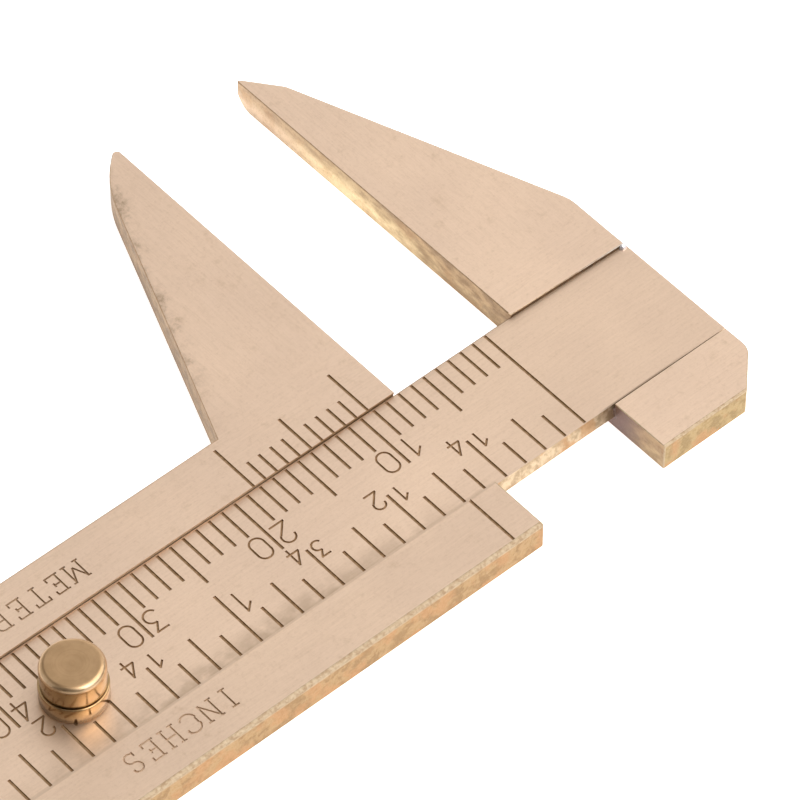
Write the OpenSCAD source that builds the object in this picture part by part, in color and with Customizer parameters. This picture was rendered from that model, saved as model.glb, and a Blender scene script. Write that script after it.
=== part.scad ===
// Pocket vernier caliper in brass, 80 mm and 3 inch.
// Frame: X runs along the scale, away from the sliding head. The jaws point to -Y and the
// engraved side faces +Z. The origin is on the fixed jaw's measuring face, in line with the
// middle of the scale strip, on the underside of the body. All lengths are in millimetres.

/* [Body] */
// Thickness of the body plate and of the sliding head
plate_t = 2.1; // [1.8:0.1:3]
// Length of the body, from the measuring face to the far end
body_len = 96; // [90:1:120]
// Width of the body across both rails
body_w = 17.8; // [16:0.2:22]
// Thickness of the floor under the channel
floor_t = 0.8; // [0.6:0.1:1]

/* [Jaws] */
// Reach of the fixed jaw, from the middle of the strip to its tip
body_jaw_reach = 31; // [26:0.2:36]
// Width of the fixed jaw where it leaves the body
body_jaw_root = 10.4; // [8:0.1:12]
// Slant of the fixed jaw's back, measured from square
body_jaw_slant = 21.5; // [20:0.1:24]
// Width of the sliding head along the scale
head_w = 9.2; // [8:0.05:12]
// Reach of the sliding jaw, from the middle of the strip to its tip
head_jaw_reach = 30.6; // [28:0.1:34]
// Distance from the middle of the strip to the end of the head's foot
foot_reach = 9.3; // [8.6:0.1:11]
// Size of the cut-off corner on the head's foot
foot_corner = 2.4; // [1:0.1:3]

/* [Scale strip] */
// Width of the strip across its engraved face
strip_w = 9.26; // [8.6:0.02:9.6]
// Thickness of the strip
strip_t = 0.95; // [0.8:0.05:1.1]
// Depth of the strip's face below the tops of the rails
strip_sink = 0.3; // [0.2:0.05:0.4]
// How far the strip's end stands past the head's outer edge
strip_over = 0.16; // [0:0.02:0.3]
// Slant of the dovetail flanks, measured from upright
flank_angle = 12; // [8:1:20]

/* [Graduations] */
// Reading at which the slide stands
reading = 9.4; // [0:0.1:75]
// Length of the metric scale
scale_mm = 80; // [50:10:80]
// Length of the inch scale
scale_inches = 3; // [1:1:3]
// Distance from each measuring face to its zero line
face_to_zero = 2.15; // [1.5:0.05:2.5]
// Width of a graduation line
line_w = 0.2; // [0.12:0.02:0.24]
// Depth of the engraving
engrave_depth = 0.12; // [0.06:0.02:0.2]

/* [Knob] */
// Distance of the knob from the scale's zero line
knob_x = 36.15; // [20:0.05:60]
// Diameter of the knob's lower ring
knob_d = 4.25; // [3:0.05:6]
// Height of the knob above the strip
knob_h = 3.05; // [2:0.05:5]

/* [Hidden] */
$fn = 64;
cut = 1;                       // how far a cutter runs past the face that it opens
inch = 25.4;
brass_top = [0.86, 0.74, 0.62];
brass_head = [0.85, 0.73, 0.6];
brass_strip = [0.87, 0.74, 0.64];
brass_knob = [0.72, 0.55, 0.36];
solder_grey = [0.66, 0.66, 0.68];
spring_bronze = [0.74, 0.5, 0.3];

// The slide's own X runs along its scale: head face at -face_to_zero, zero line at 0
slide_x = face_to_zero - reading;
head_face = -face_to_zero;
strip_end = body_len - face_to_zero;      // flush with the body's far end when closed
strip_z = plate_t - strip_sink;           // engraved face of the strip
strip_bottom = strip_z - strip_t;
body_half = body_w / 2;
strip_half = strip_w / 2;
lean = tan(flank_angle);

// Channel in the body, at the height of the strip's face
side_gap = 0.04;                          // running clearance on each side of the strip
channel_shift = -0.03;                    // the channel is cut this far off the middle
channel_depth = plate_t - floor_t;

// Sliding head: the strip lies in a wider channel, up against the jaw's side
joint_gap_jaw = 0.03;                     // between the strip and the jaw's side
joint_gap_foot = 0.29;                    // between the strip and the foot
jaw_lip = 0.06;                           // the jaw's edge stands back from the strip here,
jaw_lip_slant = 0.22;                     // and runs over it by the head's outer edge
foot_lip = 0.23;                          // from the strip's edge to the foot's edge

// Fixed jaw: a straight back, then a wide bend that runs into the rounded tip
body_tip_r = 0.32;
body_nose_r = 9;
body_root = [body_jaw_root, -body_half];
body_back_dir = [sin(body_jaw_slant), cos(body_jaw_slant)];
body_back_out = [cos(body_jaw_slant), -sin(body_jaw_slant)];
body_tip_c = [body_tip_r, -body_jaw_reach + body_tip_r];
body_tip_in = (body_root - body_tip_c) * body_back_out;     // from the tip's centre to the back's line
body_nose_on = (body_tip_c - body_root) * body_back_dir     // from the root to where the bend starts
    + sqrt((body_tip_in - body_tip_r) * (2 * body_nose_r - body_tip_r - body_tip_in));
body_nose_c = body_root + body_nose_on * body_back_dir - body_nose_r * body_back_out;
body_tip_a = atan2(body_tip_c.y - body_nose_c.y, body_tip_c.x - body_nose_c.x);
body_corner_r = 1.2;                      // rounded corners at the far end

// Sliding jaw: a narrow tip, a straight back and a soft bend into the head's outer edge
head_tip_w = 0.3;
head_nose_w = 2.06;
head_nose_y = -head_jaw_reach + 2.45;
head_tip_under_r = 1.5;                   // the tip is rounded underneath
head_back_slant = 20.7;
head_bend_r = 2.5;
head_shoulder_y = head_nose_y + (head_w - head_nose_w) / tan(head_back_slant);
head_bend_t = head_bend_r * tan(head_back_slant / 2);
foot_bend_r = 1.2;
foot_bend_t = foot_bend_r * tan(22.5);

// Graduations: lengths of the lines, from the strip's edges inwards
line_inset = 0.07;                        // the lines stop this far short of the strip's edge
mm_lines = [2.52, 3.54, 4.53];            // at 1, 5 and 10 mm
inch_lines = [2.11, 3.12, 3.64, 4.56];    // at 1/16, 1/8, 1/4 and 1 inch
vernier_divisions = 10;
vernier_pitch = 0.9;
vernier_lines = [1.66, 2.97, 3.65];       // plain lines, the middle line and the two end lines
index_len = 4;
mm_digit_h = 1.7;
mm_digit_y = -0.93;
mm_ten_dx = 0.85;                         // the two digits stand either side of their line
mm_unit_dx = 0.98;
inch_one_h = 1.7;                         // whole inches
inch_one_dx = 0.95;
inch_upper_h = 1.28;                      // the upper number of a fraction
inch_upper_dx = 0.72;
inch_upper_y = 1.36;
inch_lower_h = 1.42;                      // the lower number of a fraction
inch_lower_dx = 0.79;
inch_lower_y = 0.87;
digit_line_w = 0.14;
word_h = 1.42;
word_pitch = 1.42;
word_squeeze = 0.88;                      // the letters are narrower than the digits
word_line_w = 0.12;
metric_word_at = [23.24, -6.63];          // middle of each word's first letter
inch_word_at = [22.45, 6.42];

// Knob, with a tenon through the strip that is spread into a countersink underneath
knob_y = 0.2;
knob_ring_h = 1.25;
knob_groove = 0.1;
knob_groove_d = 3.7;
knob_cap_d = 4.02;
knob_edge_r = 0.5;
knob_base_edge = 0.08;
tenon_r = 0.8;
tenon_head_r = 1.15;
tenon_head_t = 0.35;

// Bow spring in a pocket on the underside of the strip
spring_len = 10.6;
spring_w = 3;
spring_t = 0.15;
spring_x = strip_end - 7;                 // middle of the spring
pocket_depth = 0.38;
pocket_room = 0.2;                        // free length and width around the spring
spring_top = strip_bottom + pocket_depth - 0.01;
spring_foot = floor_t + 0.02;
spring_bow = spring_top - spring_foot - spring_t;
spring_r = (pow(spring_len / 2, 2) + pow(spring_bow, 2)) / (2 * spring_bow);

// Solder between the strip and the head
solder_top = strip_z - 0.3;
bead_r = 0.28;

// ---- Shapes used by several parts ----

// Points along an arc about c, from angle a0 to a1, in n steps
function arc_points(c, r, a0, a1, n) =
    [for (i = [0:n]) c + r * [cos(a0 + (a1 - a0) * i / n), sin(a0 + (a1 - a0) * i / n)]];

// Half-width of a flank at height z, for a flank that stands at half_w at the strip's face
function flank(half_w, z) = half_w + (strip_z - z) * lean;

// A bar with its cross-section points in Y and Z, from x0 to x1
module bar_x(points, x0, x1) {
    translate([x0, 0, 0]) rotate([90, 0, 90]) linear_extrude(x1 - x0) polygon(points);
}

// ---- Engraving tools: drawn from z = 0 downwards, and cut away from a face ----

module cut_line(a, b, w) {
    span = b - a;
    translate([a.x, a.y, -engrave_depth]) rotate(atan2(span.y, span.x))
        translate([0, -w / 2, 0]) cube([norm(span), w, engrave_depth + cut]);
}

module cut_arc(c, r, a0, a1, w) {
    translate([c.x, c.y, -engrave_depth]) rotate(a0) rotate_extrude(angle = a1 - a0, $fn = 48)
        translate([r - w / 2, 0]) square([w, engrave_depth + cut]);
}

// Straight strokes of each character, one unit high about its middle
function strokes(ch) =
    ch == "0" ? [[[-0.29, -0.21], [-0.29, 0.21]], [[0.29, -0.21], [0.29, 0.21]]] :
    ch == "1" ? [[[0.05, -0.5], [0.05, 0.5]], [[0.08, 0.5], [-0.28, 0.17]]] :
    ch == "2" ? [[[0.2, 0.06], [-0.3, -0.47]], [[-0.33, -0.47], [0.32, -0.47]]] :
    ch == "3" ? [[[-0.27, 0.47], [0.28, 0.47]], [[0.26, 0.5], [-0.04, 0.08]]] :
    ch == "4" ? [[[0.12, -0.5], [0.12, 0.5]], [[0.15, 0.5], [-0.3, -0.2]], [[-0.33, -0.2], [0.32, -0.2]]] :
    ch == "5" ? [[[0.25, 0.47], [-0.2, 0.47]], [[-0.18, 0.5], [-0.22, 0]]] :
    ch == "6" ? [[[-0.26, -0.12], [0.1, 0.5]]] :
    ch == "7" ? [[[-0.3, 0.47], [0.32, 0.47]], [[0.28, 0.5], [-0.08, -0.5]]] :
    ch == "M" ? [[[-0.36, -0.5], [-0.36, 0.5]], [[0.36, -0.5], [0.36, 0.5]],
                 [[-0.36, 0.5], [0, -0.25]], [[0, -0.25], [0.36, 0.5]],
                 [[-0.52, -0.5], [-0.2, -0.5]], [[0.2, -0.5], [0.52, -0.5]],
                 [[-0.52, 0.5], [-0.3, 0.5]], [[0.3, 0.5], [0.52, 0.5]]] :
    ch == "E" ? [[[-0.24, -0.5], [-0.24, 0.5]], [[-0.4, 0.5], [0.34, 0.5]], [[-0.24, 0], [0.12, 0]],
                 [[-0.4, -0.5], [0.36, -0.5]], [[0.3, 0.5], [0.3, 0.3]], [[0.32, -0.5], [0.32, -0.28]],
                 [[0.12, -0.12], [0.12, 0.12]]] :
    ch == "T" ? [[[0, -0.5], [0, 0.5]], [[-0.42, 0.5], [0.42, 0.5]], [[-0.38, 0.5], [-0.38, 0.28]],
                 [[0.38, 0.5], [0.38, 0.28]], [[-0.18, -0.5], [0.18, -0.5]]] :
    ch == "R" ? [[[-0.24, -0.5], [-0.24, 0.5]], [[-0.4, 0.5], [0.08, 0.5]], [[-0.24, 0.02], [0.08, 0.02]],
                 [[0.04, 0.02], [0.34, -0.5]], [[-0.4, -0.5], [-0.08, -0.5]], [[0.26, -0.5], [0.46, -0.5]]] :
    ch == "I" ? [[[0, -0.5], [0, 0.5]], [[-0.2, 0.5], [0.2, 0.5]], [[-0.2, -0.5], [0.2, -0.5]]] :
    ch == "N" ? [[[-0.32, -0.5], [-0.32, 0.5]], [[0.32, -0.5], [0.32, 0.5]], [[-0.32, 0.5], [0.32, -0.5]],
                 [[-0.48, 0.5], [-0.3, 0.5]], [[0.16, 0.5], [0.48, 0.5]], [[-0.48, -0.5], [-0.16, -0.5]]] :
    ch == "C" ? [[[-0.36, -0.15], [-0.36, 0.15]], [[0.33, 0.2], [0.33, 0.46]]] :
    ch == "H" ? [[[-0.3, -0.5], [-0.3, 0.5]], [[0.3, -0.5], [0.3, 0.5]], [[-0.3, 0], [0.3, 0]],
                 [[-0.46, 0.5], [-0.14, 0.5]], [[0.14, 0.5], [0.46, 0.5]],
                 [[-0.46, -0.5], [-0.14, -0.5]], [[0.14, -0.5], [0.46, -0.5]]] :
    ch == "S" ? [[[0.24, 0.28], [0.24, 0.5]], [[-0.26, -0.26], [-0.26, -0.5]]] : [];

// Curved strokes of each character: centre, radius, first angle and last angle
function bends(ch) =
    ch == "0" ? [[[0, 0.21], 0.29, 0, 180], [[0, -0.21], 0.29, 180, 360]] :
    ch == "2" ? [[[0, 0.22], 0.27, -38, 185]] :
    ch == "3" ? [[[0, -0.2], 0.29, -150, 100]] :
    ch == "5" ? [[[0, -0.2], 0.29, -150, 135]] :
    ch == "6" ? [[[0, -0.2], 0.29, 0, 360]] :
    ch == "8" ? [[[0, 0.26], 0.22, 0, 360], [[0, -0.22], 0.27, 0, 360]] :
    ch == "R" ? [[[0.08, 0.26], 0.24, -90, 90]] :
    ch == "C" ? [[[0, 0.15], 0.36, 20, 180], [[0, -0.15], 0.36, 180, 335]] :
    ch == "S" ? [[[0, 0.25], 0.25, 15, 270], [[0, -0.24], 0.25, -165, 90]] : [];

// squeeze narrows the straight strokes, and the bends keep their radius
module cut_character(ch, at, h, w, squeeze = 1) {
    size = [h * squeeze, h];
    translate([at.x, at.y, 0]) {
        for (s = strokes(ch))
            cut_line([s[0].x * size.x, s[0].y * size.y], [s[1].x * size.x, s[1].y * size.y], w);
        for (b = bends(ch)) cut_arc([b[0].x * size.x, b[0].y * size.y], b[1] * h, b[2], b[3], w);
    }
}

module cut_word(word, at) {
    for (i = [0:len(word) - 1])
        cut_character(word[i], [at.x + i * word_pitch, at.y], word_h, word_line_w, word_squeeze);
}

// ---- Body: channel, rails and fixed jaw in one milled plate ----

function body_outline() = concat(
    [[0, body_half]],
    arc_points(body_tip_c, body_tip_r, 180, 360 + body_tip_a, 8),
    arc_points(body_nose_c, body_nose_r, body_tip_a, -body_jaw_slant, 10),
    [body_root],
    arc_points([body_len - body_corner_r, -body_half + body_corner_r], body_corner_r, -90, 0, 6),
    arc_points([body_len - body_corner_r, body_half - body_corner_r], body_corner_r, 0, 90, 6));

module body_channel() {
    low = channel_shift - strip_half - side_gap;
    high = channel_shift + strip_half + side_gap;
    top = plate_t + cut;
    bar_x([[low - (strip_z - floor_t) * lean, floor_t], [high + (strip_z - floor_t) * lean, floor_t],
           [high - (top - strip_z) * lean, top], [low + (top - strip_z) * lean, top]],
          -cut, body_len + cut);
}

// The vernier on the metric rail, with its lines starting at the rail's inner edge
module vernier_marks() {
    edge = channel_shift - strip_half;
    for (i = [0:vernier_divisions]) {
        x = face_to_zero + i * vernier_pitch;
        kind = i % vernier_divisions == 0 ? 2 : i % 5 == 0 ? 1 : 0;
        cut_line([x, edge + 0.1], [x, edge - vernier_lines[kind]], line_w);
    }
}

module inch_index() {
    edge = channel_shift + strip_half;
    cut_line([face_to_zero, edge - 0.1], [face_to_zero, edge + index_len], line_w);
}

module body_plate() {
    color(brass_top) difference() {
        linear_extrude(plate_t) polygon(body_outline());
        body_channel();
        translate([0, 0, plate_t]) {
            vernier_marks();
            inch_index();
            cut_word("METER", metric_word_at);
            cut_word("INCHES", inch_word_at);
        }
    }
}

// ---- Sliding head: jaw, floor and foot in one milled plate ----

// Outline with the measuring face on x = 0 and the head on its -X side
function head_outline() = concat(
    [[0, foot_reach], [0, -head_jaw_reach + 0.1], [-0.1, -head_jaw_reach],
     [-head_tip_w, -head_jaw_reach + 0.18], [-head_nose_w, head_nose_y]],
    [for (p = arc_points([head_bend_r, 0], head_bend_r, 180 + head_back_slant, 180, 5))
        [-head_w + p.x, head_shoulder_y + head_bend_t + p.y]],
    [for (p = arc_points([foot_bend_r, 0], foot_bend_r, 180, 135, 4))
        [-head_w + p.x, foot_reach - foot_corner - foot_bend_t + p.y]],
    [[-head_w + foot_corner, foot_reach]]);

module head_channel() {
    jaw_side = -strip_half - joint_gap_jaw;
    foot_side = strip_half + joint_gap_foot;
    deep = (strip_z - floor_t) * lean;
    bar_x([[jaw_side - deep, floor_t], [foot_side + deep, floor_t],
           [foot_side, strip_z], [jaw_side, strip_z]], -head_w - cut, cut);
    // Above the strip's face: the jaw's edge runs slightly aslant, the foot's edge is straight
    lip_fall = jaw_lip_slant / head_w;
    translate([0, 0, strip_z]) linear_extrude(strip_sink + cut)
        polygon([[cut, -strip_half + jaw_lip - cut * lip_fall],
                 [-head_w - cut, -strip_half + jaw_lip + (head_w + cut) * lip_fall],
                 [-head_w - cut, strip_half + foot_lip], [cut, strip_half + foot_lip]]);
}

module head_tip_round() {
    r = head_tip_under_r;
    end = -head_jaw_reach;
    bar_x(concat([[end + r, -cut], [end - cut, -cut], [end - cut, r]],
                 arc_points([end + r, r], r, 180, 270, 8)), -head_w, cut);
}

module head_plate() {
    color(brass_head) translate([slide_x + head_face, 0, 0]) difference() {
        linear_extrude(plate_t) polygon(head_outline());
        head_channel();
        head_tip_round();
    }
}

// ---- Scale strip ----

module metric_scale() {
    edge = -strip_half + line_inset;
    for (i = [1:scale_mm]) {
        kind = i % 10 == 0 ? 2 : i % 5 == 0 ? 1 : 0;
        cut_line([i, edge], [i, edge + mm_lines[kind]], line_w);
    }
    for (ten = [1:scale_mm / 10]) {
        cut_character(str(ten), [10 * ten - mm_ten_dx, mm_digit_y], mm_digit_h, digit_line_w);
        cut_character("0", [10 * ten + mm_unit_dx, mm_digit_y], mm_digit_h, digit_line_w);
    }
}

module inch_scale() {
    edge = strip_half - line_inset;
    for (i = [1:16 * scale_inches]) {
        kind = i % 16 == 0 ? 3 : i % 4 == 0 && i < 18 ? 2 : i % 2 == 0 ? 1 : 0;
        cut_line([i * inch / 16, edge], [i * inch / 16, edge - inch_lines[kind]], line_w);
    }
    for (quarter = [1:4 * scale_inches]) {
        x = quarter * inch / 4;
        step = quarter % 4;
        if (step == 0)
            cut_character(str(quarter / 4), [x - inch_one_dx, inch_upper_y], inch_one_h, digit_line_w);
        else {
            cut_character(step == 3 ? "3" : "1", [x - inch_upper_dx, inch_upper_y],
                          inch_upper_h, digit_line_w);
            cut_character(step == 2 ? "2" : "4", [x + inch_lower_dx, inch_lower_y],
                          inch_lower_h, digit_line_w);
        }
    }
}

// The spring's pocket on the underside
module spring_pocket() {
    room = [spring_len + pocket_room, spring_w + pocket_room, pocket_depth + cut];
    translate([spring_x - room.x / 2, -room.y / 2, strip_bottom - cut]) cube(room);
}

module tenon_hole() {
    translate([knob_x, knob_y, strip_bottom - cut]) cylinder(r = tenon_r, h = strip_t + 2 * cut);
    translate([knob_x, knob_y, strip_bottom]) cylinder(r1 = tenon_head_r, r2 = tenon_r, h = tenon_head_t);
}

module scale_strip() {
    color(brass_strip) translate([slide_x, 0, 0]) difference() {
        bar_x([[-flank(strip_half, strip_bottom), strip_bottom],
               [flank(strip_half, strip_bottom), strip_bottom],
               [strip_half, strip_z], [-strip_half, strip_z]], head_face - head_w - strip_over, strip_end);
        translate([0, 0, strip_z]) {
            cut_line([0, -strip_half + line_inset], [0, strip_half - line_inset], line_w);
            metric_scale();
            inch_scale();
        }
        tenon_hole();
        spring_pocket();
    }
}

// ---- Knob ----

module knob() {
    ring_r = knob_d / 2;
    cap_r = knob_cap_d / 2;
    cap_z = knob_ring_h + knob_groove;
    edge = arc_points([cap_r - knob_edge_r, knob_h - knob_edge_r], knob_edge_r, 0, 90, 6);
    profile = concat(
        [[0, 0], [ring_r - knob_base_edge, 0], [ring_r, knob_base_edge],
         [ring_r, knob_ring_h - knob_base_edge], [ring_r - knob_base_edge, knob_ring_h],
         [knob_groove_d / 2, knob_ring_h], [knob_groove_d / 2, cap_z],
         [cap_r - knob_base_edge, cap_z], [cap_r, cap_z + knob_base_edge]],
        edge, [[0, knob_h]]);
    color(brass_knob) translate([slide_x + knob_x, knob_y, strip_z]) {
        rotate_extrude() polygon(profile);
        translate([0, 0, -strip_t]) cylinder(r = tenon_r, h = strip_t + knob_h / 2);
        translate([0, 0, -strip_t]) cylinder(r1 = tenon_head_r, r2 = tenon_r, h = tenon_head_t);
    }
}

// ---- Solder that holds the strip in the head ----

module head_solder() {
    wall = strip_half + joint_gap_foot;
    lip_y = -strip_half + jaw_lip + jaw_lip_slant;
    color(solder_grey) translate([slide_x + head_face, 0, 0]) {
        bar_x([[-flank(strip_half, strip_bottom), floor_t], [flank(wall, floor_t), floor_t],
               [flank(wall, solder_top), solder_top], [flank(strip_half, solder_top), solder_top],
               [flank(strip_half, strip_bottom), strip_bottom],
               [-flank(strip_half, strip_bottom), strip_bottom]], -head_w, 0);
        // A bead left at the outer end of the joint, on the strip's face
        translate([-head_w - strip_over + bead_r, lip_y, strip_z]) intersection() {
            sphere(r = bead_r);
            translate([-cut, 0, 0]) cube([2 * cut, cut, cut]);
        }
    }
}

// ---- Bow spring that keeps the slide where it is set ----

module friction_spring() {
    centre_z = spring_top - spring_t / 2 - spring_r;
    color(spring_bronze) translate([slide_x + spring_x, 0, centre_z]) intersection() {
        rotate([90, 0, 0]) difference() {
            cylinder(r = spring_r + spring_t / 2, h = spring_w, center = true, $fn = 240);
            cylinder(r = spring_r - spring_t / 2, h = spring_w + 2 * cut, center = true, $fn = 240);
        }
        translate([-spring_len / 2, -spring_w, 0]) cube([spring_len, 2 * spring_w, spring_r + cut]);
    }
}

body_plate();
head_plate();
scale_strip();
knob();
head_solder();
friction_spring();
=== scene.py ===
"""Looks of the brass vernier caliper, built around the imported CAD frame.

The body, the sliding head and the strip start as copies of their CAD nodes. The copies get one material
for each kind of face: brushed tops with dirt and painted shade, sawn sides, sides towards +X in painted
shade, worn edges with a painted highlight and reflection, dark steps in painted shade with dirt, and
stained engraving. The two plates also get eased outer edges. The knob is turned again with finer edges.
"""

import math

import bmesh
import bpy
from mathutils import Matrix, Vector


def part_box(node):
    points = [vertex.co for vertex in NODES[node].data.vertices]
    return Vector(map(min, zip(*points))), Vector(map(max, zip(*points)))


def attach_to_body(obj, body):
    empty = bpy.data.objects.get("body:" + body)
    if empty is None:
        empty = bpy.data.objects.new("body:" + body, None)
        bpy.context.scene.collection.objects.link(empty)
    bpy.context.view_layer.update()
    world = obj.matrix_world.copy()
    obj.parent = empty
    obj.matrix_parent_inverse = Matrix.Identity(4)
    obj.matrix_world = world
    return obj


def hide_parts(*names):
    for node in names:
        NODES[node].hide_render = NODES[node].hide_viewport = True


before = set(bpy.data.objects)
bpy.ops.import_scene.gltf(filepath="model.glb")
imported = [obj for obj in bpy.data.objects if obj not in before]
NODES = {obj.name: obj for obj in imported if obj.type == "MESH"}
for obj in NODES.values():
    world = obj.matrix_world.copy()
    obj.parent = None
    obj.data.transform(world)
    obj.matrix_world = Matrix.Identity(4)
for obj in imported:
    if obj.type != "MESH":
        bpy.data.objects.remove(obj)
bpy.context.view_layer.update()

MM = 0.001
BODY_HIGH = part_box("body_plate")[1]
STRIP_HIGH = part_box("scale_strip")[1]
KNOB_LOW, KNOB_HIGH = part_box("knob")
HEAD_LOW, HEAD_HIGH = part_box("head_plate")

# Places on the object, in millimetres
PLATE_TOP = BODY_HIGH.z / MM
STRIP_TOP = STRIP_HIGH.z / MM
KNOB_TOP = KNOB_HIGH.z / MM
RAIL_EDGE = BODY_HIGH.y / MM     # outer edge of the inch rail; the other rail ends at minus this
STRIP_HALF = 4.63                # half of the strip's engraved width
HEAD_FACE = HEAD_HIGH.x / MM     # the sliding jaw's measuring face
HEAD_BACK = HEAD_LOW.x / MM      # the sliding head's outer edge
HEAD_TIP = HEAD_LOW.y / MM       # tip of the sliding jaw
FOOT_END = HEAD_HIGH.y / MM
JAW_BACK = 13.9                  # the fixed jaw's back runs along x = JAW_BACK + JAW_SLOPE * y
JAW_SLOPE = 0.394
WORDS_X = 20                     # the unit words are farther along than this,
WORDS_Y = (5.5, 7.5)             # and this far from the strip's middle
BODY_CUTS = (32, 48, 64, 80)     # the body's long faces are cut here

# Sizes, in millimetres
GROOVE_DEPTH = 0.12
CLOSED_AIR = 0.01                # air between the closed measuring faces
TIP_ROUND = 1.5                  # radius under the sliding jaw's tip
NEAR = 0.01                      # two places that are closer than this are the same place

# Radii that handling has worn onto the edges, in millimetres
EASED_INCH_EDGE = 0.3            # also the largest
EASED_BODY = 0.1
EASED_FIXED_JAW = 0.05
EASED_FOOT_END = 0.16
EASED_HEAD = 0.06
EASED_LIP = 0.05
EASED_UPRIGHT = 0.08             # the most that an upright edge gets
EASED_BELOW = 0.04               # the most that an edge on the underside gets

# Camera: a long lens, 50 degrees above the work, from the inch side and the scale's end
CAMERA_AT = Vector((148.12, 165.15, 271.43)) * MM
CAMERA_AIM = Vector((-0.014, -4.126, 1.8)) * MM
CAMERA_LENS = 261.0
CAMERA_SENSOR = 36.0
CAMERA_NEAREST = 0.01            # metres

LAMP_AIM = Vector((20, -4, 0)) * MM
WORLD_COLOUR = (1.0, 0.85, 0.7, 1.0)
WORLD_STRENGTH = 0.1
FLOOR_HALF = 3.0                 # metres
FLOOR_BELOW = 0.02 * MM          # how far the floor is under the object
FLOOR_GLOW = 0.8


# ---- Shader helper ----

class Shader:
    """One node material, with short calls for the nodes that the brass needs."""

    def __init__(self, name, metallic=1.0):
        self.material = bpy.data.materials.new(name)
        self.material.use_nodes = True
        self.tree = self.material.node_tree
        self.bsdf = self.tree.nodes["Principled BSDF"]
        self.bsdf.inputs["Metallic"].default_value = metallic
        self.place = self.scaled((1 / MM, 1 / MM, 1 / MM))

    def add(self, kind, **settings):
        node = self.tree.nodes.new(kind)
        for key, value in settings.items():
            setattr(node, key, value)
        return node

    def link(self, source, target):
        self.tree.links.new(source, target)

    def feed(self, target, value):
        if isinstance(value, bpy.types.NodeSocket):
            self.link(value, target)
        else:
            target.default_value = value

    def scaled(self, scale, source=None):
        """Object coordinates, or those of source, times scale."""
        mapping = self.add("ShaderNodeMapping")
        mapping.inputs["Scale"].default_value = scale
        self.link(source or self.add("ShaderNodeTexCoord").outputs["Object"], mapping.inputs["Vector"])
        return mapping.outputs["Vector"]

    def noise(self, scale=1.0, detail=3.0, roughness=0.55, source=None):
        """Noise at the place on the object, or at source, with scale features in a millimetre."""
        node = self.add("ShaderNodeTexNoise")
        self.link(source or self.place, node.inputs["Vector"])
        node.inputs["Scale"].default_value = scale
        node.inputs["Detail"].default_value = detail
        node.inputs["Roughness"].default_value = roughness
        return node.outputs["Fac"]

    def ramp(self, value, low, high, out_low=0.0, out_high=1.0):
        """A smooth change from out_low, where value is low, to out_high, where it is high."""
        node = self.add("ShaderNodeMapRange", interpolation_type="SMOOTHSTEP")
        self.link(value, node.inputs["Value"])
        ends = {"From Min": low, "From Max": high, "To Min": out_low, "To Max": out_high}
        for name, number in ends.items():
            node.inputs[name].default_value = number
        return node.outputs["Result"]

    def maths(self, operation, a, b=0.0):
        node = self.add("ShaderNodeMath", operation=operation)
        self.feed(node.inputs[0], a)
        self.feed(node.inputs[1], b)
        return node.outputs[0]

    def times(self, first, *others):
        for other in others:
            first = self.maths("MULTIPLY", first, other)
        return first

    def plus(self, a, b):
        return self.maths("ADD", a, b)

    def minus(self, a, b):
        return self.maths("SUBTRACT", a, b)

    def apart(self, a, b):
        return self.maths("ABSOLUTE", self.minus(a, b))

    def mix(self, a, b, factor, blend="MIX"):
        node = self.add("ShaderNodeMix", data_type="RGBA", blend_type=blend)
        self.feed(node.inputs[0], factor)
        self.feed(node.inputs[6], a)
        self.feed(node.inputs[7], b)
        return node.outputs[2]

    def blend_value(self, a, b, factor):
        node = self.add("ShaderNodeMix", data_type="FLOAT")
        self.feed(node.inputs[0], factor)
        self.feed(node.inputs[2], a)
        self.feed(node.inputs[3], b)
        return node.outputs[0]

    def axis(self, name):
        """One coordinate of the place on the object, in millimetres."""
        node = self.add("ShaderNodeSeparateXYZ")
        self.link(self.place, node.inputs[0])
        return node.outputs[name]

    def bump(self, height, strength, distance_mm):
        node = self.add("ShaderNodeBump")
        node.inputs["Strength"].default_value = strength
        node.inputs["Distance"].default_value = distance_mm * MM
        self.link(height, node.inputs["Height"])
        self.link(node.outputs["Normal"], self.bsdf.inputs["Normal"])

    def finish(self, colour, roughness):
        self.feed(self.bsdf.inputs["Base Color"], colour)
        self.feed(self.bsdf.inputs["Roughness"], roughness)
        return self.material


def rgb(red, green, blue):
    return (red, green, blue, 1.0)


# ---- Colours ----

TOP_LIGHT, TOP_DARK = rgb(0.82, 0.623, 0.471), rgb(0.76, 0.576, 0.439)
BRUSH_SHADE = rgb(0.58, 0.54, 0.46)
GRAIN_SHADE = rgb(0.55, 0.45, 0.37)
SPOTS = rgb(0.56, 0.40, 0.27)
# Dirt colours, also laid on the strip as painted shade beside the steps and rails
DIRT_AND_SHADE = rgb(0.40, 0.29, 0.20)
JOINT_DIRT_AND_SHADE = rgb(0.20, 0.13, 0.08)

TARNISH = rgb(0.44, 0.24, 0.108)
SAWN_GRIT = rgb(0.30, 0.17, 0.08)
SAWN_BODY = rgb(0.404, 0.261, 0.126), rgb(0.301, 0.184, 0.082)
SAWN_HEAD = rgb(0.391, 0.279, 0.133), rgb(0.291, 0.198, 0.087)
SAWN_STRIP = rgb(0.603, 0.466, 0.312), rgb(0.40, 0.29, 0.18)

# Sides towards +X: painted shade, as a darker copy of the sawn sides
SHADED_SIDE_LIGHT, SHADED_SIDE_DARK = rgb(0.42, 0.28, 0.155), rgb(0.24, 0.148, 0.08)
BROWN_GRIT = rgb(0.25, 0.17, 0.12)
STAIN_AND_SHADE = rgb(0.19, 0.125, 0.11)
# Gold on the sides towards +X: painted light
LIT_GOLD_LIGHT, LIT_GOLD_DARK = rgb(0.89, 0.72, 0.45), rgb(0.82, 0.63, 0.38)
LIT_GOLD_TIP = rgb(0.73, 0.55, 0.39)

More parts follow.
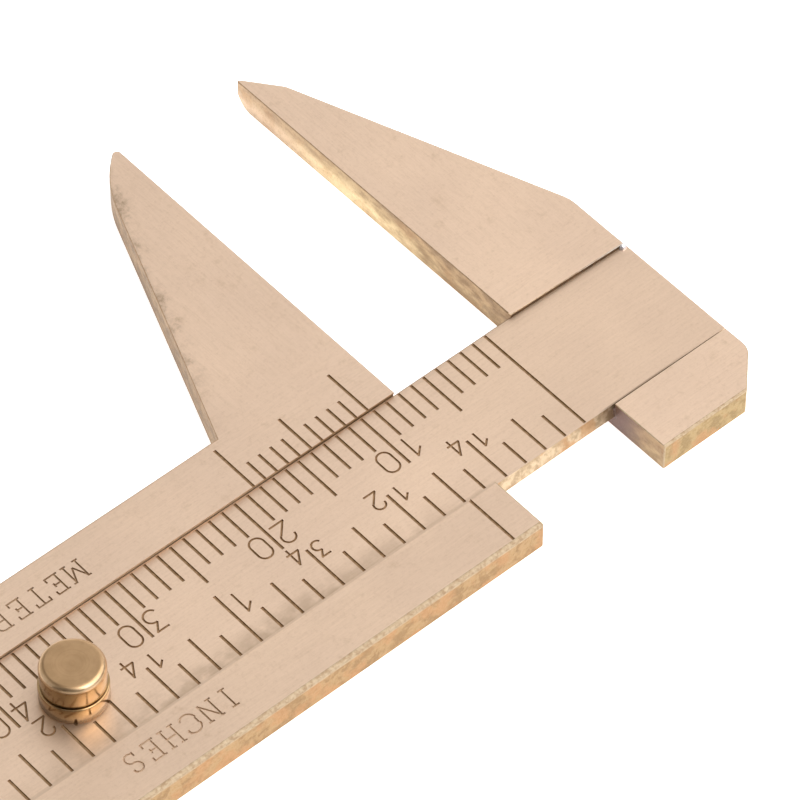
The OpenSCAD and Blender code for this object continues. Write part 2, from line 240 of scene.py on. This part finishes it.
# The grey on the eased edges is a painted dark reflection
EDGE_GREY_REFLECTION, EDGE_BROWN = rgb(0.66, 0.60, 0.53), rgb(0.52, 0.38, 0.26)
EDGE_BEIGE = rgb(0.58, 0.466, 0.331)
EDGE_NICK = rgb(0.46, 0.31, 0.18)
# The lip's colours: a painted highlight and a darker painted brown
LIP_BROWN, LIP_PAINTED_HIGHLIGHT = rgb(0.40, 0.28, 0.18), rgb(0.96, 0.80, 0.60)

INK = rgb(0.295, 0.178, 0.09), rgb(0.46, 0.29, 0.16)
WORD_INK = rgb(0.28, 0.17, 0.09), rgb(0.46, 0.30, 0.17)
WORD_FADED = rgb(0.66, 0.50, 0.36)
# Step walls: painted shade of the narrow steps, with oil and dirt
BODY_STEP = rgb(0.30, 0.19, 0.10), rgb(0.46, 0.30, 0.17)
BODY_STEP_LOWER = rgb(0.60, 0.44, 0.30)
HEAD_STEP = rgb(0.065, 0.036, 0.016), rgb(0.15, 0.085, 0.038)

KNOB_SIDE, KNOB_RIM_HIGHLIGHT, KNOB_DISC = rgb(0.46, 0.32, 0.165), rgb(0.66, 0.47, 0.29), rgb(0.51, 0.33, 0.18)
KNOB_MOTTLE = rgb(0.41, 0.26, 0.135)
KNOB_RINGS = rgb(0.6, 0.5, 0.4)
SOLDER_BRIGHT = rgb(0.80, 0.77, 0.80), rgb(0.52, 0.50, 0.53)
SOLDER_TARNISHED = rgb(0.22, 0.16, 0.15), rgb(0.12, 0.08, 0.07)
SPRING = rgb(0.58, 0.33, 0.17), rgb(0.42, 0.22, 0.10)
FLOOR_DARK, FLOOR_LIGHT = rgb(0.86, 0.86, 0.86), rgb(0.9, 0.9, 0.9)


# ---- Materials: all places in them are in millimetres ----

def streaks(shader, fine=(0.6, 9.0), broad=(0.2, 3.0), along_y=False):
    """Brush lines along X or Y. fine and broad are features per millimetre along and across them."""
    def drawn_out(along, across, detail, roughness):
        scale = (across, along, 1.0) if along_y else (along, across, 1.0)
        place = shader.scaled(scale, shader.place)
        return shader.noise(detail=detail, roughness=roughness, source=place)
    fine_lines, broad_lines = drawn_out(*fine, 4.0, 0.7), drawn_out(*broad, 2.0, 0.55)
    return shader.plus(shader.times(fine_lines, 0.7), shader.times(broad_lines, 0.3))


def brushed_brass(name, turn_y=None, stain=0.5, dirt=None):
    """Satin brass with brush lines along X. Below turn_y they turn, and run along Y on the jaws.

    dirt takes the shader and the colour so far, and gives the colour with dirt and painted shade laid
    over it."""
    shader = Shader(name)
    lines = streaks(shader)
    if turn_y is not None:
        turned = shader.ramp(shader.axis("Y"), turn_y - 3.0, turn_y + 1.0)
        lines = shader.blend_value(streaks(shader, along_y=True), lines, turned)
    colour = shader.mix(TOP_LIGHT, TOP_DARK, shader.ramp(shader.noise(0.12, 2.0), 0.3, 0.7))
    colour = shader.mix(colour, BRUSH_SHADE, shader.ramp(lines, 0.35, 0.75, 0.0, 0.2), "MULTIPLY")
    grain = shader.noise(5.0, 4.0, 0.75)
    colour = shader.mix(colour, GRAIN_SHADE, shader.ramp(grain, 0.45, 0.85, 0.0, 0.3), "MULTIPLY")
    spots = shader.ramp(shader.noise(1.1, 5.0, 0.65), 0.56, 0.78)
    colour = shader.mix(colour, SPOTS, shader.times(spots, stain))
    if dirt is not None:
        colour = dirt(shader, colour)
    shader.bump(shader.plus(lines, shader.times(grain, 0.8)), 0.16, 0.02)
    return shader.finish(colour, shader.ramp(lines, 0.2, 0.8, 0.38, 0.47))


def strip_dirt_and_shade(shader, colour):
    """Darker patches and a thin line beside the inch rail, the line dirt with painted shade; dark joints
    where the strip lies in the head; painted shade beside the step on the other edge.
    """
    y, x = shader.axis("Y"), shader.axis("X")
    darker_patches = shader.ramp(shader.noise(0.9, 3.0, 0.5), 0.25, 0.68)
    beside = shader.ramp(y, STRIP_HALF - 2.0, STRIP_HALF - 0.5)
    along = shader.times(shader.ramp(x, -2.0, 14.0), shader.ramp(x, 24.0, 36.0, 0.6, 0.2))
    colour = shader.mix(colour, DIRT_AND_SHADE, shader.times(darker_patches, beside, along))
    colour = shader.mix(colour, DIRT_AND_SHADE, shader.ramp(x, 3.0, -6.0, 0.0, 0.12))
    # A thin line beside the inch rail: dirt with painted shade.
    line = shader.times(shader.ramp(y, STRIP_HALF - 0.42, STRIP_HALF - 0.28), shader.ramp(x, -1.5, 1.5))
    colour = shader.mix(colour, DIRT_AND_SHADE, shader.times(line, 0.25))

    at_foot = shader.ramp(y, STRIP_HALF - 0.14, STRIP_HALF - 0.05)
    darker = shader.ramp(x, HEAD_BACK + 1.0, HEAD_FACE - 3.0, 0.05, 0.6)
    in_head = shader.ramp(x, HEAD_FACE + 1.2, HEAD_FACE + 0.2)
    colour = shader.mix(colour, JOINT_DIRT_AND_SHADE, shader.times(at_foot, darker, in_head))

    # Painted shade on the strip below the step along its metre-side edge.
    shade = shader.ramp(y, -STRIP_HALF + 0.6, -STRIP_HALF + 0.02)
    colour = shader.mix(colour, DIRT_AND_SHADE, shader.times(shade, 0.22))
    # A painted shadow line along the metre-side edge, where the strip lies outside the body.
    edge = shader.times(shader.ramp(y, -STRIP_HALF + 0.07, -STRIP_HALF + 0.02), shader.ramp(x, 0.5, -0.5))
    return shader.mix(colour, JOINT_DIRT_AND_SHADE, shader.times(edge, 0.8))


def body_dirt_and_shade(shader, colour):
    """A thin dark line along the inch rail's inner edge, dirt with painted shade, and stains along the
    back of the fixed jaw.
    """
    y, x = shader.axis("Y"), shader.axis("X")
    # The thin line along the inch rail's inner edge: dirt with painted shade.
    line = shader.ramp(shader.apart(y, STRIP_HALF), 0.13, 0.04)
    colour = shader.mix(colour, DIRT_AND_SHADE, shader.times(line, 0.35))
    colour = shader.mix(colour, DIRT_AND_SHADE, shader.ramp(y, 4.0, 5.5, 0.0, 0.12))

    past_back = shader.minus(shader.minus(x, shader.times(y, JAW_SLOPE)), JAW_BACK)
    wobble = shader.plus(past_back, shader.ramp(shader.noise(0.5, 2.0), 0.3, 0.7, -0.9, 0.3))
    stains = shader.ramp(shader.noise(3.2, 5.0, 0.75), 0.36, 0.70)
    stains = shader.times(stains, shader.ramp(wobble, -1.5, -0.1))
    stains = shader.plus(stains, shader.ramp(wobble, -0.9, 0.1, 0.0, 0.35))
    stains = shader.times(stains, shader.ramp(y, -7.0, -18.0, 0.0, 0.8))
    return shader.mix(colour, DIRT_AND_SHADE, stains)


def sawn_brass(name, light, dark):
    """Side faces: sawn and filed, so they are rougher, mottled and partly tarnished."""
    shader = Shader(name)
    mottle = shader.noise(1.3, 4.0, 0.65)
    grit = shader.noise(7.0, 4.0, 0.7)
    colour = shader.mix(light, dark, shader.ramp(mottle, 0.42, 0.58))
    patches = shader.ramp(shader.noise(0.7), 0.48, 0.62)
    colour = shader.mix(colour, TARNISH, shader.times(patches, 0.7))
    colour = shader.mix(colour, SAWN_GRIT, shader.ramp(grit, 0.52, 0.8, 0.0, 0.4))
    shader.bump(shader.plus(mottle, grit), 0.35, 0.05)
    return shader.finish(colour, shader.ramp(grit, 0.3, 0.7, 0.36, 0.52))


def painted_lit_gold(shader, colour, mottle, lit_gold_y):
    """Painted light: gold over the painted brown shade, most from the given place along Y to the jaw's
    tip, and near the underside.
    """
    y = shader.axis("Y")
    gold = shader.mix(LIT_GOLD_LIGHT, LIT_GOLD_DARK, shader.ramp(mottle, 0.38, 0.62))
    gold = shader.mix(gold, LIT_GOLD_TIP, shader.ramp(y, HEAD_TIP + 10.0, HEAD_TIP + 3.0))
    wobble = shader.plus(y, shader.times(mottle, 8.0))
    along = shader.ramp(wobble, lit_gold_y - 2.0, lit_gold_y + 8.0, 1.0, 0.16)
    low = shader.ramp(shader.axis("Z"), 0.6, 1.7, 1.0, 0.27)
    return shader.mix(colour, gold, shader.times(along, low))


def shaded_side_brass(name, lit_gold_y=None, stain_and_shade_y=None):
    """Side faces that look along the scale, towards +X: a darker copy of the sawn sides as painted shade,
    with painted gold light towards the jaw's tip, and darker beside the strip's joint.
    """
    shader = Shader(name)
    mottle = shader.noise(1.5, 4.0, 0.6, shader.scaled((1.0, 0.5, 1.2), shader.place))
    grit = shader.noise(7.0, 4.0, 0.7)
    colour = shader.mix(SHADED_SIDE_LIGHT, SHADED_SIDE_DARK, shader.ramp(mottle, 0.35, 0.65))
    if lit_gold_y is not None:
        colour = painted_lit_gold(shader, colour, mottle, lit_gold_y)
    patches = shader.ramp(shader.noise(0.8), 0.5, 0.66)
    colour = shader.mix(colour, TARNISH, shader.times(patches, 0.25))
    # Darker near the strip's joint: a solder and flux stain with painted corner shade.
    if stain_and_shade_y is not None:
        clear = shader.ramp(shader.apart(shader.axis("Y"), stain_and_shade_y), 0.2, 3.4)
        colour = shader.mix(STAIN_AND_SHADE, colour, clear)
    colour = shader.mix(colour, BROWN_GRIT, shader.ramp(grit, 0.5, 0.8, 0.0, 0.5))
    shader.bump(shader.plus(mottle, grit), 0.4, 0.05)
    return shader.finish(colour, shader.ramp(grit, 0.3, 0.7, 0.4, 0.55))


def wear_and_sheen_brass(name, beige_y, brown_x, lip_x=None):
    """Eased edges with small dark nicks: beige beyond beige_y, brown beyond brown_x, greyish before both,
    the grey a painted dark reflection.

    With lip_x, the lip above the strip gets a painted highlight near lip_x and is painted a darker brown
    farther from it."""
    shader = Shader(name)
    grit = shader.noise(4.0, 4.0, 0.7)
    y, x = shader.axis("Y"), shader.axis("X")
    # The grey is a painted dark reflection on the eased edge.
    colour = shader.mix(EDGE_GREY_REFLECTION, EDGE_BROWN, shader.ramp(x, brown_x, brown_x + 0.1))
    colour = shader.mix(colour, EDGE_BEIGE, shader.ramp(y, beige_y, beige_y + 0.5))
    if lip_x is not None:
        at_lip = shader.ramp(shader.apart(y, -STRIP_HALF), 0.25, 0.12)
        # Painted highlight on the lip near lip_x, darker brown away from it.
        lip = shader.mix(LIP_BROWN, LIP_PAINTED_HIGHLIGHT, shader.ramp(x, lip_x - 7.0, lip_x - 1.0))
        colour = shader.mix(colour, lip, at_lip)
    colour = shader.mix(colour, EDGE_NICK, shader.ramp(grit, 0.42, 0.7, 0.0, 0.6))
    shader.bump(grit, 0.3, 0.04)
    return shader.finish(colour, shader.ramp(grit, 0.3, 0.7, 0.68, 0.85))


def dark_step(name, dark, light, lighter_from_x=None, lower_colour=None):
    """The walls beside the strip: dark, painted shade of the narrow step together with oil and dirt. From
    the given place along X on, they are lighter low down.
    """
    shader = Shader(name, metallic=0.6)
    grain = shader.noise(3.0, 3.0, 0.6)
    # Painted shade of the step, with oil and dirt.
    colour = shader.mix(dark, light, shader.ramp(grain, 0.4, 0.7))
    if lighter_from_x is not None:
        along = shader.ramp(shader.axis("X"), lighter_from_x, lighter_from_x + 9.0)
        low = shader.ramp(shader.axis("Z"), PLATE_TOP - 0.06, PLATE_TOP - 0.2, 0.55, 1.0)
        colour = shader.mix(colour, lower_colour, shader.times(along, low))
    return shader.finish(colour, 0.6)


def engraving(name, dark, light, fade_x=None, faded=None):
    """Brown oxide left in the engraved lines. From about fade_x it is worn away along X.

    On the inch side it is worn away sooner."""
    shader = Shader(name, metallic=0.2)
    shader.bsdf.inputs["Specular IOR Level"].default_value = 0.2
    grain = shader.noise(4.0, 4.0, 0.7)
    colour = shader.mix(dark, light, shader.ramp(grain, 0.4, 0.7))
    if fade_x is not None:
        place = shader.plus(shader.axis("X"), shader.times(grain, 3.0))
        place = shader.plus(place, shader.ramp(shader.axis("Y"), -1.0, 1.0, -2.0, 3.0))
        colour = shader.mix(colour, faded, shader.ramp(place, fade_x, fade_x + 7.0, 0.1, 0.75))
    return shader.finish(colour, 0.65)


def turned_brass(centre):
    """The knob's brass, with turning rings about its own axis."""
    shader = Shader("turned_brass")
    shift = shader.add("ShaderNodeVectorMath", operation="SUBTRACT")
    shader.link(shader.place, shift.inputs[0])
    shift.inputs[1].default_value = (centre.x / MM, centre.y / MM, 0)
    flat = shader.scaled((1.0, 1.0, 0.0), shift.outputs[0])
    radius = shader.add("ShaderNodeVectorMath", operation="LENGTH")
    shader.link(flat, radius.inputs[0])
    ring_place = shader.add("ShaderNodeCombineXYZ")
    shader.link(radius.outputs["Value"], ring_place.inputs["X"])
    shader.link(shader.times(shader.axis("Z"), 2.0), ring_place.inputs["Y"])
    rings = shader.noise(7.0, 3.0, 0.6, ring_place.outputs[0])
    mottle = shader.noise(1.2, 4.0)
    top = shader.ramp(shader.axis("Z"), KNOB_TOP - 0.45, KNOB_TOP - 0.3)
    disc = shader.ramp(shader.axis("Z"), KNOB_TOP - 0.12, KNOB_TOP - 0.02)
    # A lighter colour on the rim: painted highlight.
    colour = shader.mix(KNOB_SIDE, KNOB_RIM_HIGHLIGHT, top)
    colour = shader.mix(colour, KNOB_DISC, disc)
    colour = shader.mix(colour, KNOB_MOTTLE, shader.ramp(mottle, 0.35, 0.7, 0.0, 0.6))
    colour = shader.mix(colour, KNOB_RINGS, shader.ramp(rings, 0.4, 0.8, 0.0, 0.2), "MULTIPLY")
    shader.bump(rings, 0.12, 0.02)
    return shader.finish(colour, shader.blend_value(0.2, 0.36, top))


def solder_metal(open_x):
    """Soft solder: bright on the bead, and tarnished near open_x, the open end of the joint."""
    shader = Shader("soft_solder", metallic=0.8)
    lumps = shader.noise(4.0)
    bright = shader.mix(*SOLDER_BRIGHT, shader.ramp(lumps, 0.4, 0.7))
    tarnished = shader.mix(*SOLDER_TARNISHED, shader.ramp(lumps, 0.4, 0.7))
    colour = shader.mix(bright, tarnished, shader.ramp(shader.axis("X"), open_x - 4.0, open_x - 1.0))
    shader.bump(lumps, 0.5, 0.06)
    return shader.finish(colour, 0.42)


def spring_metal():
    """Rolled spring bronze."""
    shader = Shader("spring_bronze")
    lines = streaks(shader, fine=(0.5, 9.0), broad=(0.2, 2.0))
    shader.bump(lines, 0.2, 0.02)
    return shader.finish(shader.mix(*SPRING, shader.ramp(lines, 0.35, 0.7)), 0.3)


# ---- Plates and strip: copies of the CAD nodes ----

TOP, SIDE, EDGE, GROOVE, STEP, WORD, SHADED_SIDE = range(7)       # places in a plate's list of materials


def millimetre_copy(node):
    """The CAD node as a bmesh in millimetres, with its triangles joined into whole flat faces."""
    bm = bmesh.new()
    bm.from_mesh(NODES[node].data)
    bmesh.ops.scale(bm, vec=Vector((1, 1, 1)) / MM, verts=bm.verts)
    bmesh.ops.remove_doubles(bm, verts=bm.verts, dist=0.0005)
    bmesh.ops.dissolve_limit(bm, angle_limit=math.radians(0.4), verts=bm.verts, edges=bm.edges)
    bm.normal_update()
    return bm


def heights(face):
    zs = [v.co.z for v in face.verts]
    return min(zs), max(zs)


def is_flat(face):
    return abs(face.normal.z) > 0.9


def is_outer_wall(face):
    """A wall over the plate's whole height, or down to the rounding under the sliding jaw's tip."""
    low, high = heights(face)
    at_tip = face.calc_center_median().y < HEAD_TIP + TIP_ROUND
    return abs(face.normal.z) < 0.3 and (low < NEAR or at_tip) and high > PLATE_TOP - NEAR


def is_lip(edge):
    """The top edge of a channel wall that faces the inch side."""
    walls = [f for f in edge.link_faces if f.normal.y > 0.9 and heights(f)[0] > NEAR]
    return bool(walls) and min(v.co.z for v in edge.verts) > PLATE_TOP - NEAR


def edge_easing(edge, sizes, lip):
    """Radius that handling has worn onto this edge of a plate, in millimetres."""
    walls = [f for f in edge.link_faces if is_outer_wall(f)]
    if not walls:
        return lip if is_lip(edge) else 0.0
    middle = (edge.verts[0].co + edge.verts[1].co) / 2
    if len(walls) == 2:
        sharp = edge.is_convex and edge.calc_face_angle() > math.radians(30)
        return min(sizes(middle), EASED_UPRIGHT) if sharp else 0.0
    if not any(is_flat(f) for f in edge.link_faces):
        return 0.0
    if middle.z > PLATE_TOP - NEAR:
        return sizes(middle)
    return min(sizes(middle) / 2, EASED_BELOW) if middle.z < NEAR else 0.0


def in_word(face):
    """Grooves of the unit words, which stand in the middle of the rails."""
    middle = face.calc_center_median()
    return middle.x > WORDS_X and WORDS_Y[0] < abs(middle.y) < WORDS_Y[1]


def paint_faces(bm, top, plate):
    """Gives each face its material. A plate has words and a channel, and the strip has neither."""
    for face in bm.faces:
        low, high = heights(face)
        if top - GROOVE_DEPTH - NEAR < low < top - NEAR:
            face.material_index = WORD if plate and in_word(face) else GROOVE
        elif is_flat(face):
            face.material_index = TOP
        elif plate and low > NEAR and high > top - NEAR and not is_outer_wall(face):
            face.material_index = STEP
        else:
            # Faces towards +X take the shaded copy of the sawn sides: painted shade.
            face.material_index = SHADED_SIDE if plate and face.normal.x > 0.7 else SIDE


def finish_mesh(bm, name, materials, sharp_angle=35):
    """Makes the object in metres, with flat faces kept flat beside their rounded edges."""
    bmesh.ops.scale(bm, vec=Vector((MM, MM, MM)), verts=bm.verts)
    mesh = bpy.data.meshes.new(name)
    bm.to_mesh(mesh)
    bm.free()
    stale = mesh.attributes.get("custom_normal")
    if stale:
        mesh.attributes.remove(stale)
    for material in materials:
        mesh.materials.append(material)
    mesh.shade_smooth()
    mesh.set_sharp_from_angle(angle=math.radians(sharp_angle))
    piece = bpy.data.objects.new(name, mesh)
    bpy.context.scene.collection.objects.link(piece)
    return piece


def ease_edges(piece):
    """Rounds the marked edges, and keeps the flat faces beside them flat and free of long slivers."""
    bevel = piece.modifiers.new("eased_edges", "BEVEL")
    bevel.limit_method = "WEIGHT"
    bevel.width = EASED_INCH_EDGE * MM
    bevel.segments = 4
    bevel.use_clamp_overlap = False
    bevel.material = EDGE
    bevel.harden_normals = True
    even = piece.modifiers.new("even_triangles", "TRIANGULATE")
    even.ngon_method = "BEAUTY"
    even.min_vertices = 5
    even.keep_custom_normals = True


def attach(piece, body, node):
    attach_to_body(piece, body)
    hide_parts(node)


def open_measuring_face(bm):
    """Sets the fixed jaw's face back, so that it doesn't touch the other jaw when they are closed."""
    for vert in bm.verts:
        if abs(vert.co.x) < NEAR:
            vert.co.x += CLOSED_AIR


def cut_through(bm, cuts):
    """Cuts the faces through at places along X, so that no long slivers are left in them."""
    for x in cuts:
        everything = bm.verts[:] + bm.edges[:] + bm.faces[:]
        bmesh.ops.bisect_plane(bm, geom=everything, plane_co=(x, 0, 0), plane_no=(1, 0, 0))


def make_plate(bm, name, body, node, materials, sizes, lip=0.0):
    """sizes gives the easing of an outer edge by its place, and lip is that of the channel's lip."""
    weights = bm.edges.layers.float.new("bevel_weight_edge")
    for edge in bm.edges:
        edge[weights] = edge_easing(edge, sizes, lip) / EASED_INCH_EDGE
    paint_faces(bm, PLATE_TOP, plate=True)
    piece = finish_mesh(bm, name, materials)
    ease_edges(piece)
    attach(piece, body, node)


def body_easing(at):
    """The outer edge on the inch side is eased most, and the jaw least."""
    if at.y < -RAIL_EDGE - NEAR:
        return EASED_FIXED_JAW
    return EASED_INCH_EDGE if at.y > RAIL_EDGE - 0.1 else EASED_BODY


def head_easing(at):
    """The foot's end is eased most."""
    return EASED_FOOT_END if at.y > FOOT_END - 0.1 else EASED_HEAD


def make_body(materials):
    bm = millimetre_copy("body_plate")
    open_measuring_face(bm)
    cut_through(bm, BODY_CUTS)
    make_plate(bm, "eased_body_plate", "body", "body_plate", materials, body_easing)


def make_head(materials):
    bm = millimetre_copy("head_plate")
    make_plate(bm, "eased_head_plate", "slide", "head_plate", materials, head_easing, lip=EASED_LIP)


def make_strip(materials):
    bm = millimetre_copy("scale_strip")
    paint_faces(bm, STRIP_TOP, plate=False)
    attach(finish_mesh(bm, "engraved_scale_strip", materials), "slide", "scale_strip")


# ---- Knob ----

def arc(x, z, r, first, last, steps):
    """Points on a circle about x, z, from the first angle to the last, in degrees."""
    angles = [math.radians(first + (last - first) * i / steps) for i in range(steps + 1)]
    return [(x + r * math.cos(a), z + r * math.sin(a)) for a in angles]


def knob_profile():
    """Radius and height of the knob above the strip, from its base's middle to its top's middle."""
    radius = (KNOB_HIGH.x - KNOB_LOW.x) / 2 / MM
    height = KNOB_TOP - STRIP_TOP
    ring_h, groove, cap_r, neck_r = 1.25, 0.1, radius - 0.115, radius - 0.275
    rim, small, dish = 0.42, 0.07, 0.01
    points = [(0.0, 0.0), (radius - small, 0.0), (radius, small)]
    points += arc(radius - small, ring_h - small, small, 0, 90, 4)
    points += [(neck_r, ring_h), (neck_r, ring_h + groove)]
    points += arc(cap_r - small / 2, ring_h + groove + small / 2, small / 2, -90, 0, 3)
    points += arc(cap_r - rim, height - rim, rim, 0, 90, 10)
    points += [(cap_r * 0.5, height - dish), (0.0, height - dish)]
    return points


def make_knob(turns=128):
    centre = (KNOB_LOW + KNOB_HIGH) / 2
    x, y = centre.x / MM, centre.y / MM
    bm = bmesh.new()
    verts = [bm.verts.new((x + radius, y, STRIP_TOP + height)) for radius, height in knob_profile()]
    edges = [bm.edges.new(pair) for pair in zip(verts, verts[1:])]
    bmesh.ops.spin(bm, geom=verts + edges, cent=(x, y, 0), axis=(0, 0, 1), angle=math.tau, steps=turns,
                   use_merge=True)
    bmesh.ops.remove_doubles(bm, verts=bm.verts, dist=0.0005)
    bmesh.ops.recalc_face_normals(bm, faces=bm.faces)
    knob = finish_mesh(bm, "turned_knob", [turned_brass(centre)], 50)
    attach(knob, "slide", "knob")


# ---- Stage ----

def make_camera():
    data = bpy.data.cameras.new("camera")
    data.lens = CAMERA_LENS
    data.sensor_width = CAMERA_SENSOR
    data.clip_start = CAMERA_NEAREST
    camera = bpy.data.objects.new("camera", data)
    camera.location = CAMERA_AT
    camera.rotation_euler = (CAMERA_AIM - CAMERA_AT).to_track_quat("-Z", "Y").to_euler()
    bpy.context.scene.collection.objects.link(camera)
    bpy.context.scene.camera = camera


def make_floor():
    """A white table that is lit from below, so that it shows next to no shadow."""
    mesh = bpy.data.meshes.new("floor")
    sides = ((-1, -1), (1, -1), (1, 1), (-1, 1))
    corners = [(x * FLOOR_HALF, y * FLOOR_HALF, -FLOOR_BELOW) for x, y in sides]
    mesh.from_pydata(corners, [], [(0, 1, 2, 3)])
    shader = Shader("floor_white", metallic=0.0)
    shader.bsdf.inputs["Emission Color"].default_value = rgb(1.0, 1.0, 1.0)
    shader.bsdf.inputs["Emission Strength"].default_value = FLOOR_GLOW
    colour = shader.mix(FLOOR_DARK, FLOOR_LIGHT, shader.noise(0.01, 2.0))
    mesh.materials.append(shader.finish(colour, 0.7))
    floor = bpy.data.objects.new("floor", mesh)
    bpy.context.scene.collection.objects.link(floor)


def make_lamp(name, azimuth, elevation, width, height, radiance, distance=0.9):
    """A softbox that faces the work. Azimuth is counted from +X towards +Y, and lengths are in metres."""
    turn, rise = math.radians(azimuth), math.radians(elevation)
    away = Vector((math.cos(turn) * math.cos(rise), math.sin(turn) * math.cos(rise), math.sin(rise)))
    data = bpy.data.lights.new(name, "AREA")
    data.shape = "RECTANGLE"
    data.size, data.size_y = width, height
    data.energy = radiance * math.pi * width * height
    lamp = bpy.data.objects.new(name, data)
    lamp.location = LAMP_AIM + away * distance
    lamp.rotation_euler = (-away).to_track_quat("-Z", "Y").to_euler()
    bpy.context.scene.collection.objects.link(lamp)


def make_light():
    """The back softbox shines in the tops, and the right and front ones shape the walls and the knob.

    The far one lights the tops for views from behind."""
    world = bpy.data.worlds.new("studio")
    world.use_nodes = True
    background = world.node_tree.nodes["Background"]
    background.inputs["Color"].default_value = WORLD_COLOUR
    background.inputs["Strength"].default_value = WORLD_STRENGTH
    bpy.context.scene.world = world
    bpy.context.scene.view_settings.view_transform = "Standard"
    make_lamp("back_softbox", 214, 43, 1.0, 1.0, 0.705)
    make_lamp("right_softbox", 138, 48, 1.2, 0.8, 2.7)
    make_lamp("front_softbox", 92, 48, 0.38, 0.8, 2.9)
    make_lamp("overhead_softbox", 120, 80, 0.8, 0.8, 0.8)
    make_lamp("backdrop", 236, 17, 4.4, 0.6, 0.8, distance=1.2)
    make_lamp("far_softbox", 315, 33, 1.2, 0.8, 0.6)


# ---- The scene ----

make_camera()
make_floor()
make_light()

ink = engraving("engraving_brown", *INK)
words = engraving("engraving_faded", *WORD_INK, fade_x=24.0, faded=WORD_FADED)
body_edge_wear_and_sheen = wear_and_sheen_brass("wear_and_sheen_body_edge", beige_y=0.0, brown_x=1.2)
head_edge_wear_and_sheen = wear_and_sheen_brass("wear_and_sheen_head_edge", beige_y=STRIP_HALF + 0.3, brown_x=HEAD_FACE - 0.2,
                       lip_x=HEAD_FACE)

make_body([
    brushed_brass("brushed_body", turn_y=-RAIL_EDGE, dirt=body_dirt_and_shade),
    sawn_brass("sawn_side", *SAWN_BODY),
    body_edge_wear_and_sheen,
    ink,
    dark_step("body_step", *BODY_STEP, lighter_from_x=5.0, lower_colour=BODY_STEP_LOWER),
    words,
    shaded_side_brass("shaded_side_body"),
])
make_head([
    brushed_brass("brushed_head", turn_y=-7.0),
    sawn_brass("sawn_head", *SAWN_HEAD),
    head_edge_wear_and_sheen,
    ink,
    dark_step("head_step", *HEAD_STEP),
    words,
    shaded_side_brass("shaded_side_head", lit_gold_y=-14.0, stain_and_shade_y=STRIP_HALF + 0.4),
])
make_strip([
    brushed_brass("brushed_strip", stain=0.35, dirt=strip_dirt_and_shade),
    sawn_brass("strip_flank", *SAWN_STRIP),
    body_edge_wear_and_sheen,
    ink,
])
make_knob()
NODES["head_solder"].material_slots[0].material = solder_metal(HEAD_FACE)
NODES["friction_spring"].material_slots[0].material = spring_metal()
